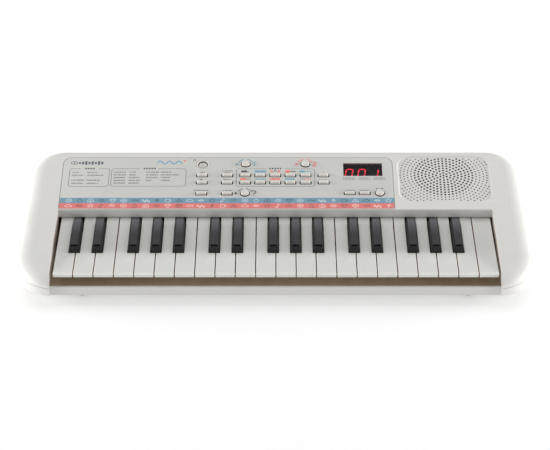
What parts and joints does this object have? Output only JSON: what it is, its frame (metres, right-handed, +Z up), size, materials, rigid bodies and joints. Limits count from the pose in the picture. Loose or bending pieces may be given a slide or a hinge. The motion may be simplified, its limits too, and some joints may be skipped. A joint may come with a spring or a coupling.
{
  "type": "toy electronic keyboard",
  "caption": "Small tabletop music keyboard with sprung keys, a sloping button panel, a display and a round-hole speaker grille.",
  "frame": {"origin": "middle of the bounding box in plan, at the table surface under the feet", "axes": "+X to the right of the player, +Y from the player to the rear, +Z up"},
  "size_m": [0.506, 0.2011, 0.054],
  "materials": {
    "case_plastic": "satin, fine moulded grain, off-white",
    "panel_film": "satin printed film, light grey with blue and coral bands",
    "smoked_lens": "polished smoked lens",
    "circuit_board": "solder mask",
    "contact_silicone": "matt silicone",
    "chassis_plastic": "matt, as moulded",
    "speaker_frame": "satin black",
    "speaker_paper": "matt paper",
    "foot_rubber": "matt",
    "white_key_plastic": "semi-gloss",
    "black_key_plastic": "satin top, glossy sides",
    "button_plastic": "satin"
  },
  "bodies": {
    "case": {"top_case": "case_plastic", "bottom_case": "case_plastic", "control_panel": "panel_film", "display_window": "smoked_lens", "main_board": "circuit_board", "contact_board": "circuit_board", "contact_rubber": "contact_silicone", "key_chassis": "chassis_plastic", "speaker_basket": "speaker_frame", "speaker_cone": "speaker_paper", "foot_front_left": "foot_rubber", "foot_front_right": "foot_rubber", "foot_rear_left": "foot_rubber", "foot_rear_right": "foot_rubber"},
    "key_c1": {"key_c1": "white_key_plastic"},
    "key_c_sharp1": {"key_c_sharp1": "black_key_plastic"},
    "key_d1": {"key_d1": "white_key_plastic"},
    "key_d_sharp1": {"key_d_sharp1": "black_key_plastic"},
    "key_e1": {"key_e1": "white_key_plastic"},
    "key_f1": {"key_f1": "white_key_plastic"},
    "key_f_sharp1": {"key_f_sharp1": "black_key_plastic"},
    "key_g1": {"key_g1": "white_key_plastic"},
    "key_g_sharp1": {"key_g_sharp1": "black_key_plastic"},
    "key_a1": {"key_a1": "white_key_plastic"},
    "key_a_sharp1": {"key_a_sharp1": "black_key_plastic"},
    "key_b1": {"key_b1": "white_key_plastic"},
    "key_c2": {"key_c2": "white_key_plastic"},
    "key_c_sharp2": {"key_c_sharp2": "black_key_plastic"},
    "key_d2": {"key_d2": "white_key_plastic"},
    "key_d_sharp2": {"key_d_sharp2": "black_key_plastic"},
    "key_e2": {"key_e2": "white_key_plastic"},
    "key_f2": {"key_f2": "white_key_plastic"},
    "key_f_sharp2": {"key_f_sharp2": "black_key_plastic"},
    "key_g2": {"key_g2": "white_key_plastic"},
    "key_g_sharp2": {"key_g_sharp2": "black_key_plastic"},
    "key_a2": {"key_a2": "white_key_plastic"},
    "key_a_sharp2": {"key_a_sharp2": "black_key_plastic"},
    "key_b2": {"key_b2": "white_key_plastic"},
    "key_c3": {"key_c3": "white_key_plastic"},
    "key_c_sharp3": {"key_c_sharp3": "black_key_plastic"},
    "key_d3": {"key_d3": "white_key_plastic"},
    "key_d_sharp3": {"key_d_sharp3": "black_key_plastic"},
    "key_e3": {"key_e3": "white_key_plastic"},
    "key_f3": {"key_f3": "white_key_plastic"},
    "key_f_sharp3": {"key_f_sharp3": "black_key_plastic"},
    "key_g3": {"key_g3": "white_key_plastic"},
    "key_g_sharp3": {"key_g_sharp3": "black_key_plastic"},
    "key_a3": {"key_a3": "white_key_plastic"},
    "key_a_sharp3": {"key_a_sharp3": "black_key_plastic"},
    "key_b3": {"key_b3": "white_key_plastic"},
    "key_c4": {"key_c4": "white_key_plastic"},
    "power_button": {"power_button": "button_plastic"},
    "voice_one_button": {"voice_one_button": "button_plastic"},
    "voice_two_button": {"voice_two_button": "button_plastic"},
    "quiz_button": {"quiz_button": "button_plastic"},
    "start_button": {"start_button": "button_plastic"},
    "left_button_set": {"left_button_set": "button_plastic"},
    "voice_button_set": {"voice_button_set": "button_plastic"},
    "mode_button_set": {"mode_button_set": "button_plastic"},
    "battery_cover": {"battery_cover": "case_plastic"}
  },
  "joints": [
    {"name": "key_c1_press", "type": "hinge", "parent": "case", "child": "key_c1", "pos_m": [-0.20625, 0.031, 0.0262], "axis": [1, 0, 0], "range_deg": [0, 2], "stiffness_Nm_per_rad": 0.8, "springref_deg": -2.86},
    {"name": "key_c_sharp1_press", "type": "hinge", "parent": "case", "child": "key_c_sharp1", "pos_m": [-0.1979, 0.031, 0.0262], "axis": [1, 0, 0], "range_deg": [0, 2], "stiffness_Nm_per_rad": 0.8, "springref_deg": -2.86},
    {"name": "key_d1_press", "type": "hinge", "parent": "case", "child": "key_d1", "pos_m": [-0.18655, 0.031, 0.0262], "axis": [1, 0, 0], "range_deg": [0, 2], "stiffness_Nm_per_rad": 0.8, "springref_deg": -2.86},
    {"name": "key_d_sharp1_press", "type": "hinge", "parent": "case", "child": "key_d_sharp1", "pos_m": [-0.1752, 0.031, 0.0262], "axis": [1, 0, 0], "range_deg": [0, 2], "stiffness_Nm_per_rad": 0.8, "springref_deg": -2.86},
    {"name": "key_e1_press", "type": "hinge", "parent": "case", "child": "key_e1", "pos_m": [-0.16685, 0.031, 0.0262], "axis": [1, 0, 0], "range_deg": [0, 2], "stiffness_Nm_per_rad": 0.8, "springref_deg": -2.86},
    {"name": "key_f1_press", "type": "hinge", "parent": "case", "child": "key_f1", "pos_m": [-0.14715, 0.031, 0.0262], "axis": [1, 0, 0], "range_deg": [0, 2], "stiffness_Nm_per_rad": 0.8, "springref_deg": -2.86},
    {"name": "key_f_sharp1_press", "type": "hinge", "parent": "case", "child": "key_f_sharp1", "pos_m": [-0.1399, 0.031, 0.0262], "axis": [1, 0, 0], "range_deg": [0, 2], "stiffness_Nm_per_rad": 0.8, "springref_deg": -2.86},
    {"name": "key_g1_press", "type": "hinge", "parent": "case", "child": "key_g1", "pos_m": [-0.12745, 0.031, 0.0262], "axis": [1, 0, 0], "range_deg": [0, 2], "stiffness_Nm_per_rad": 0.8, "springref_deg": -2.86},
    {"name": "key_g_sharp1_press", "type": "hinge", "parent": "case", "child": "key_g_sharp1", "pos_m": [-0.1176, 0.031, 0.0262], "axis": [1, 0, 0], "range_deg": [0, 2], "stiffness_Nm_per_rad": 0.8, "springref_deg": -2.86},
    {"name": "key_a1_press", "type": "hinge", "parent": "case", "child": "key_a1", "pos_m": [-0.10775, 0.031, 0.0262], "axis": [1, 0, 0], "range_deg": [0, 2], "stiffness_Nm_per_rad": 0.8, "springref_deg": -2.86},
    {"name": "key_a_sharp1_press", "type": "hinge", "parent": "case", "child": "key_a_sharp1", "pos_m": [-0.0953, 0.031, 0.0262], "axis": [1, 0, 0], "range_deg": [0, 2], "stiffness_Nm_per_rad": 0.8, "springref_deg": -2.86},
    {"name": "key_b1_press", "type": "hinge", "parent": "case", "child": "key_b1", "pos_m": [-0.08805, 0.031, 0.0262], "axis": [1, 0, 0], "range_deg": [0, 2], "stiffness_Nm_per_rad": 0.8, "springref_deg": -2.86},
    {"name": "key_c2_press", "type": "hinge", "parent": "case", "child": "key_c2", "pos_m": [-0.06835, 0.031, 0.0262], "axis": [1, 0, 0], "range_deg": [0, 2], "stiffness_Nm_per_rad": 0.8, "springref_deg": -2.86},
    {"name": "key_c_sharp2_press", "type": "hinge", "parent": "case", "child": "key_c_sharp2", "pos_m": [-0.06, 0.031, 0.0262], "axis": [1, 0, 0], "range_deg": [0, 2], "stiffness_Nm_per_rad": 0.8, "springref_deg": -2.86},
    {"name": "key_d2_press", "type": "hinge", "parent": "case", "child": "key_d2", "pos_m": [-0.04865, 0.031, 0.0262], "axis": [1, 0, 0], "range_deg": [0, 2], "stiffness_Nm_per_rad": 0.8, "springref_deg": -2.86},
    {"name": "key_d_sharp2_press", "type": "hinge", "parent": "case", "child": "key_d_sharp2", "pos_m": [-0.0373, 0.031, 0.0262], "axis": [1, 0, 0], "range_deg": [0, 2], "stiffness_Nm_per_rad": 0.8, "springref_deg": -2.86},
    {"name": "key_e2_press", "type": "hinge", "parent": "case", "child": "key_e2", "pos_m": [-0.02895, 0.031, 0.0262], "axis": [1, 0, 0], "range_deg": [0, 2], "stiffness_Nm_per_rad": 0.8, "springref_deg": -2.86},
    {"name": "key_f2_press", "type": "hinge", "parent": "case", "child": "key_f2", "pos_m": [-0.00925, 0.031, 0.0262], "axis": [1, 0, 0], "range_deg": [0, 2], "stiffness_Nm_per_rad": 0.8, "springref_deg": -2.86},
    {"name": "key_f_sharp2_press", "type": "hinge", "parent": "case", "child": "key_f_sharp2", "pos_m": [-0.002, 0.031, 0.0262], "axis": [1, 0, 0], "range_deg": [0, 2], "stiffness_Nm_per_rad": 0.8, "springref_deg": -2.86},
    {"name": "key_g2_press", "type": "hinge", "parent": "case", "child": "key_g2", "pos_m": [0.01045, 0.031, 0.0262], "axis": [1, 0, 0], "range_deg": [0, 2], "stiffness_Nm_per_rad": 0.8, "springref_deg": -2.86},
    {"name": "key_g_sharp2_press", "type": "hinge", "parent": "case", "child": "key_g_sharp2", "pos_m": [0.0203, 0.031, 0.0262], "axis": [1, 0, 0], "range_deg": [0, 2], "stiffness_Nm_per_rad": 0.8, "springref_deg": -2.86},
    {"name": "key_a2_press", "type": "hinge", "parent": "case", "child": "key_a2", "pos_m": [0.03015, 0.031, 0.0262], "axis": [1, 0, 0], "range_deg": [0, 2], "stiffness_Nm_per_rad": 0.8, "springref_deg": -2.86},
    {"name": "key_a_sharp2_press", "type": "hinge", "parent": "case", "child": "key_a_sharp2", "pos_m": [0.0426, 0.031, 0.0262], "axis": [1, 0, 0], "range_deg": [0, 2], "stiffness_Nm_per_rad": 0.8, "springref_deg": -2.86},
    {"name": "key_b2_press", "type": "hinge", "parent": "case", "child": "key_b2", "pos_m": [0.04985, 0.031, 0.0262], "axis": [1, 0, 0], "range_deg": [0, 2], "stiffness_Nm_per_rad": 0.8, "springref_deg": -2.86},
    {"name": "key_c3_press", "type": "hinge", "parent": "case", "child": "key_c3", "pos_m": [0.06955, 0.031, 0.0262], "axis": [1, 0, 0], "range_deg": [0, 2], "stiffness_Nm_per_rad": 0.8, "springref_deg": -2.86},
    {"name": "key_c_sharp3_press", "type": "hinge", "parent": "case", "child": "key_c_sharp3", "pos_m": [0.0779, 0.031, 0.0262], "axis": [1, 0, 0], "range_deg": [0, 2], "stiffness_Nm_per_rad": 0.8, "springref_deg": -2.86},
    {"name": "key_d3_press", "type": "hinge", "parent": "case", "child": "key_d3", "pos_m": [0.08925, 0.031, 0.0262], "axis": [1, 0, 0], "range_deg": [0, 2], "stiffness_Nm_per_rad": 0.8, "springref_deg": -2.86},
    {"name": "key_d_sharp3_press", "type": "hinge", "parent": "case", "child": "key_d_sharp3", "pos_m": [0.1006, 0.031, 0.0262], "axis": [1, 0, 0], "range_deg": [0, 2], "stiffness_Nm_per_rad": 0.8, "springref_deg": -2.86},
    {"name": "key_e3_press", "type": "hinge", "parent": "case", "child": "key_e3", "pos_m": [0.10895, 0.031, 0.0262], "axis": [1, 0, 0], "range_deg": [0, 2], "stiffness_Nm_per_rad": 0.8, "springref_deg": -2.86},
    {"name": "key_f3_press", "type": "hinge", "parent": "case", "child": "key_f3", "pos_m": [0.12865, 0.031, 0.0262], "axis": [1, 0, 0], "range_deg": [0, 2], "stiffness_Nm_per_rad": 0.8, "springref_deg": -2.86},
    {"name": "key_f_sharp3_press", "type": "hinge", "parent": "case", "child": "key_f_sharp3", "pos_m": [0.1359, 0.031, 0.0262], "axis": [1, 0, 0], "range_deg": [0, 2], "stiffness_Nm_per_rad": 0.8, "springref_deg": -2.86},
    {"name": "key_g3_press", "type": "hinge", "parent": "case", "child": "key_g3", "pos_m": [0.14835, 0.031, 0.0262], "axis": [1, 0, 0], "range_deg": [0, 2], "stiffness_Nm_per_rad": 0.8, "springref_deg": -2.86},
    {"name": "key_g_sharp3_press", "type": "hinge", "parent": "case", "child": "key_g_sharp3", "pos_m": [0.1582, 0.031, 0.0262], "axis": [1, 0, 0], "range_deg": [0, 2], "stiffness_Nm_per_rad": 0.8, "springref_deg": -2.86},
    {"name": "key_a3_press", "type": "hinge", "parent": "case", "child": "key_a3", "pos_m": [0.16805, 0.031, 0.0262], "axis": [1, 0, 0], "range_deg": [0, 2], "stiffness_Nm_per_rad": 0.8, "springref_deg": -2.86},
    {"name": "key_a_sharp3_press", "type": "hinge", "parent": "case", "child": "key_a_sharp3", "pos_m": [0.1805, 0.031, 0.0262], "axis": [1, 0, 0], "range_deg": [0, 2], "stiffness_Nm_per_rad": 0.8, "springref_deg": -2.86},
    {"name": "key_b3_press", "type": "hinge", "parent": "case", "child": "key_b3", "pos_m": [0.18775, 0.031, 0.0262], "axis": [1, 0, 0], "range_deg": [0, 2], "stiffness_Nm_per_rad": 0.8, "springref_deg": -2.86},
    {"name": "key_c4_press", "type": "hinge", "parent": "case", "child": "key_c4", "pos_m": [0.20745, 0.031, 0.0262], "axis": [1, 0, 0], "range_deg": [0, 2], "stiffness_Nm_per_rad": 0.8, "springref_deg": -2.86},
    {"name": "power_button_press", "type": "slide", "parent": "case", "child": "power_button", "axis": [0, 0.1659, -0.9861], "range_m": [0, 0.001], "stiffness_N_per_m": 500, "springref_m": -0.001},
    {"name": "voice_one_button_press", "type": "slide", "parent": "case", "child": "voice_one_button", "axis": [0, 0.1659, -0.9861], "range_m": [0, 0.001], "stiffness_N_per_m": 500, "springref_m": -0.001},
    {"name": "voice_two_button_press", "type": "slide", "parent": "case", "child": "voice_two_button", "axis": [0, 0.1659, -0.9861], "range_m": [0, 0.001], "stiffness_N_per_m": 500, "springref_m": -0.001},
    {"name": "quiz_button_press", "type": "slide", "parent": "case", "child": "quiz_button", "axis": [0, 0.1659, -0.9861], "range_m": [0, 0.001], "stiffness_N_per_m": 500, "springref_m": -0.001},
    {"name": "start_button_press", "type": "slide", "parent": "case", "child": "start_button", "axis": [0, 0.1659, -0.9861], "range_m": [0, 0.001], "stiffness_N_per_m": 500, "springref_m": -0.001},
    {"name": "left_button_set_press", "type": "slide", "parent": "case", "child": "left_button_set", "axis": [0, 0.1659, -0.9861], "range_m": [0, 0.001], "stiffness_N_per_m": 500, "springref_m": -0.001},
    {"name": "voice_button_set_press", "type": "slide", "parent": "case", "child": "voice_button_set", "axis": [0, 0.1659, -0.9861], "range_m": [0, 0.001], "stiffness_N_per_m": 500, "springref_m": -0.001},
    {"name": "mode_button_set_press", "type": "slide", "parent": "case", "child": "mode_button_set", "axis": [0, 0.1659, -0.9861], "range_m": [0, 0.001], "stiffness_N_per_m": 500, "springref_m": -0.001},
    {"name": "battery_cover_hinge", "type": "hinge", "parent": "case", "child": "battery_cover", "pos_m": [-0.094, 0.084, 0.004], "axis": [1, 0, 0], "range_deg": [0, 75]}
  ]
}
